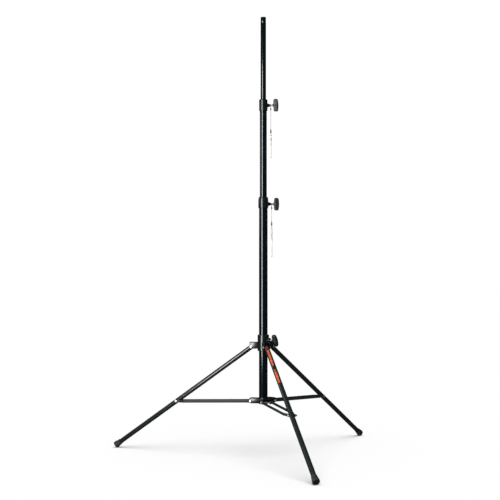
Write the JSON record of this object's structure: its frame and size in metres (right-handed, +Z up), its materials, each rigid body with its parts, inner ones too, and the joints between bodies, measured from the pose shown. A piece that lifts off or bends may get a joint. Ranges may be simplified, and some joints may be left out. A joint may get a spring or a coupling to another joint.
{
  "type": "lighting stand",
  "caption": "Telescopic black steel stand: knob-clamped mast sections on a folding tripod with braced tubular legs, rubber feet and locking pins hung on wire lanyards.",
  "frame": {"origin": "on the mast's axis at floor level, midway between the three feet", "axes": "+Z up along the mast; the front leg points to -Y, so +X is to its right seen from the front"},
  "size_m": [1.7572, 1.5277, 2.791],
  "materials": {
    "painted_tube": "gloss black powder coat",
    "painted_casting": "satin black powder coat, slightly pebbled",
    "painted_strip": "satin black paint on steel strip",
    "moulded_knob": "matt moulded nylon, ribbed",
    "foot_rubber": "matt black rubber",
    "lanyard_sleeve": "dark shrink sleeve over a crimp",
    "plated_steel": "bright zinc plate",
    "steel_wire": "stranded steel wire in clear sleeve",
    "brass_shoe": "machined brass",
    "black_nylon": "moulded black nylon"
  },
  "bodies": {
    "mast_base": {"lower_tube": "painted_tube", "lower_end_plug": "black_nylon", "middle_collar": "painted_casting", "middle_collar_bush": "black_nylon", "brace_hub": "painted_casting", "brace_hub_bolts": "plated_steel"},
    "middle_mast": {"middle_tube": "painted_tube", "middle_tube_guide": "black_nylon", "upper_collar": "painted_casting", "upper_collar_bush": "black_nylon"},
    "top_mast": {"top_tube": "painted_tube", "top_tube_guide": "black_nylon", "top_cap": "black_nylon"},
    "leg_hub": {"leg_hub_sleeve": "painted_casting", "leg_hub_liner": "black_nylon", "leg_pivot_bolts": "plated_steel"},
    "front_leg": {"front_leg_tube": "painted_tube", "front_leg_bushes": "black_nylon", "front_leg_plug": "black_nylon", "front_foot": "foot_rubber"},
    "front_brace": {"front_brace_strip_a": "painted_strip", "front_brace_strip_b": "painted_strip", "front_brace_bolt": "plated_steel"},
    "right_leg": {"right_leg_tube": "painted_tube", "right_leg_bushes": "black_nylon", "right_leg_plug": "black_nylon", "right_foot": "foot_rubber"},
    "right_brace": {"right_brace_strip_a": "painted_strip", "right_brace_strip_b": "painted_strip", "right_brace_bolt": "plated_steel"},
    "left_leg": {"left_leg_tube": "painted_tube", "left_leg_bushes": "black_nylon", "left_leg_plug": "black_nylon", "left_foot": "foot_rubber"},
    "left_brace": {"left_brace_strip_a": "painted_strip", "left_brace_strip_b": "painted_strip", "left_brace_bolt": "plated_steel"},
    "upper_clamp": {"upper_clamp_shoe": "brass_shoe"},
    "upper_screw_and_knob": {"upper_clamp_screw": "plated_steel", "upper_knob": "moulded_knob"},
    "middle_clamp": {"middle_clamp_shoe": "brass_shoe"},
    "middle_screw_and_knob": {"middle_clamp_screw": "plated_steel", "middle_knob": "moulded_knob"},
    "hub_clamp": {"hub_clamp_shoe": "brass_shoe"},
    "hub_screw_and_knob": {"hub_clamp_screw": "plated_steel", "hub_knob": "moulded_knob"},
    "upper_lanyard": {"upper_lanyard_wire": "steel_wire", "upper_lanyard_loops": "steel_wire", "upper_lanyard_ferrules": "lanyard_sleeve"},
    "upper_pin": {"upper_pin_ring": "plated_steel", "upper_locking_pin": "plated_steel"},
    "middle_lanyard": {"middle_lanyard_wire": "steel_wire", "middle_lanyard_loops": "steel_wire", "middle_lanyard_ferrules": "lanyard_sleeve"},
    "middle_pin": {"middle_pin_ring": "plated_steel", "middle_locking_pin": "plated_steel"}
  },
  "joints": [
    {"name": "middle_slide", "type": "slide", "parent": "mast_base", "child": "middle_mast", "axis": [0, 0, 1], "range_m": [-0.553, 0.419]},
    {"name": "top_slide", "type": "slide", "parent": "middle_mast", "child": "top_mast", "axis": [0, 0, 1], "range_m": [-0.488, 0.453]},
    {"name": "hub_slide", "type": "slide", "parent": "mast_base", "child": "leg_hub", "axis": [0, 0, 1], "range_m": [0, 0.77567]},
    {"name": "front_leg_hinge", "type": "hinge", "parent": "leg_hub", "child": "front_leg", "pos_m": [0, -0.076, 0.67455], "axis": [1, 0, 0], "range_deg": [0, 51.94]},
    {"name": "front_brace_hinge", "type": "hinge", "parent": "mast_base", "child": "front_brace", "pos_m": [0, -0.076, 0.33053], "axis": [-1, 0, 0], "range_deg": [0, 88.68]},
    {"name": "right_leg_hinge", "type": "hinge", "parent": "leg_hub", "child": "right_leg", "pos_m": [0.06582, 0.038, 0.67455], "axis": [-0.5, 0.866, 0], "range_deg": [0, 51.94]},
    {"name": "right_brace_hinge", "type": "hinge", "parent": "mast_base", "child": "right_brace", "pos_m": [0.06582, 0.038, 0.33053], "axis": [0.5, -0.866, 0], "range_deg": [0, 88.68]},
    {"name": "left_leg_hinge", "type": "hinge", "parent": "leg_hub", "child": "left_leg", "pos_m": [-0.06582, 0.038, 0.67455], "axis": [-0.5, -0.866, 0], "range_deg": [0, 51.94]},
    {"name": "left_brace_hinge", "type": "hinge", "parent": "mast_base", "child": "left_brace", "pos_m": [-0.06582, 0.038, 0.33053], "axis": [0.5, 0.866, 0], "range_deg": [0, 88.68]},
    {"name": "upper_clamp_travel", "type": "slide", "parent": "middle_mast", "child": "upper_clamp", "axis": [0.8988, -0.4384, 0], "range_m": [0, 0.0015]},
    {"name": "upper_knob_turn", "type": "hinge", "parent": "upper_clamp", "child": "upper_screw_and_knob", "pos_m": [0.06292, -0.03069, 2.21903], "axis": [0.8988, -0.4384, 0], "range_deg": [0, 360]},
    {"name": "middle_clamp_travel", "type": "slide", "parent": "mast_base", "child": "middle_clamp", "axis": [0.9976, -0.0698, 0], "range_m": [0, 0.0015]},
    {"name": "middle_knob_turn", "type": "hinge", "parent": "middle_clamp", "child": "middle_screw_and_knob", "pos_m": [0.06983, -0.00488, 1.58603], "axis": [0.9976, -0.0698, 0], "range_deg": [0, 360]},
    {"name": "hub_clamp_travel", "type": "slide", "parent": "leg_hub", "child": "hub_clamp", "axis": [0.6947, -0.7193, 0], "range_m": [0, 0.0015]},
    {"name": "hub_knob_turn", "type": "hinge", "parent": "hub_clamp", "child": "hub_screw_and_knob", "pos_m": [0.04863, -0.05035, 0.71555], "axis": [0.6947, -0.7193, 0], "range_deg": [0, 360]},
    {"name": "upper_lanyard_swing", "type": "hinge", "parent": "middle_mast", "child": "upper_lanyard", "pos_m": [0.04377, -0.02135, 2.21903], "axis": [0.8988, -0.4384, 0], "range_deg": [-75, 75]},
    {"name": "upper_pin_swing", "type": "hinge", "parent": "upper_lanyard", "child": "upper_pin", "pos_m": [0.04377, -0.02135, 2.02303], "axis": [0.8988, -0.4384, 0], "range_deg": [-75, 75]},
    {"name": "middle_lanyard_swing", "type": "hinge", "parent": "mast_base", "child": "middle_lanyard", "pos_m": [0.05477, -0.00383, 1.58603], "axis": [0.9976, -0.0698, 0], "range_deg": [-75, 75]},
    {"name": "middle_pin_swing", "type": "hinge", "parent": "middle_lanyard", "child": "middle_pin", "pos_m": [0.05477, -0.00383, 1.39003], "axis": [0.9976, -0.0698, 0], "range_deg": [-75, 75]}
  ],
  "couplings": [
    {"joint": "front_leg_hinge", "follows": "hub_slide", "rad_per_m": 1.1688},
    {"joint": "front_brace_hinge", "follows": "hub_slide", "rad_per_m": 1.9953},
    {"joint": "right_leg_hinge", "follows": "hub_slide", "rad_per_m": 1.1688},
    {"joint": "right_brace_hinge", "follows": "hub_slide", "rad_per_m": 1.9953},
    {"joint": "left_leg_hinge", "follows": "hub_slide", "rad_per_m": 1.1688},
    {"joint": "left_brace_hinge", "follows": "hub_slide", "rad_per_m": 1.9953},
    {"joint": "upper_clamp_travel", "follows": "upper_knob_turn", "m_per_rad": 0.00023873},
    {"joint": "middle_clamp_travel", "follows": "middle_knob_turn", "m_per_rad": 0.00023873},
    {"joint": "hub_clamp_travel", "follows": "hub_knob_turn", "m_per_rad": 0.00023873}
  ]
}
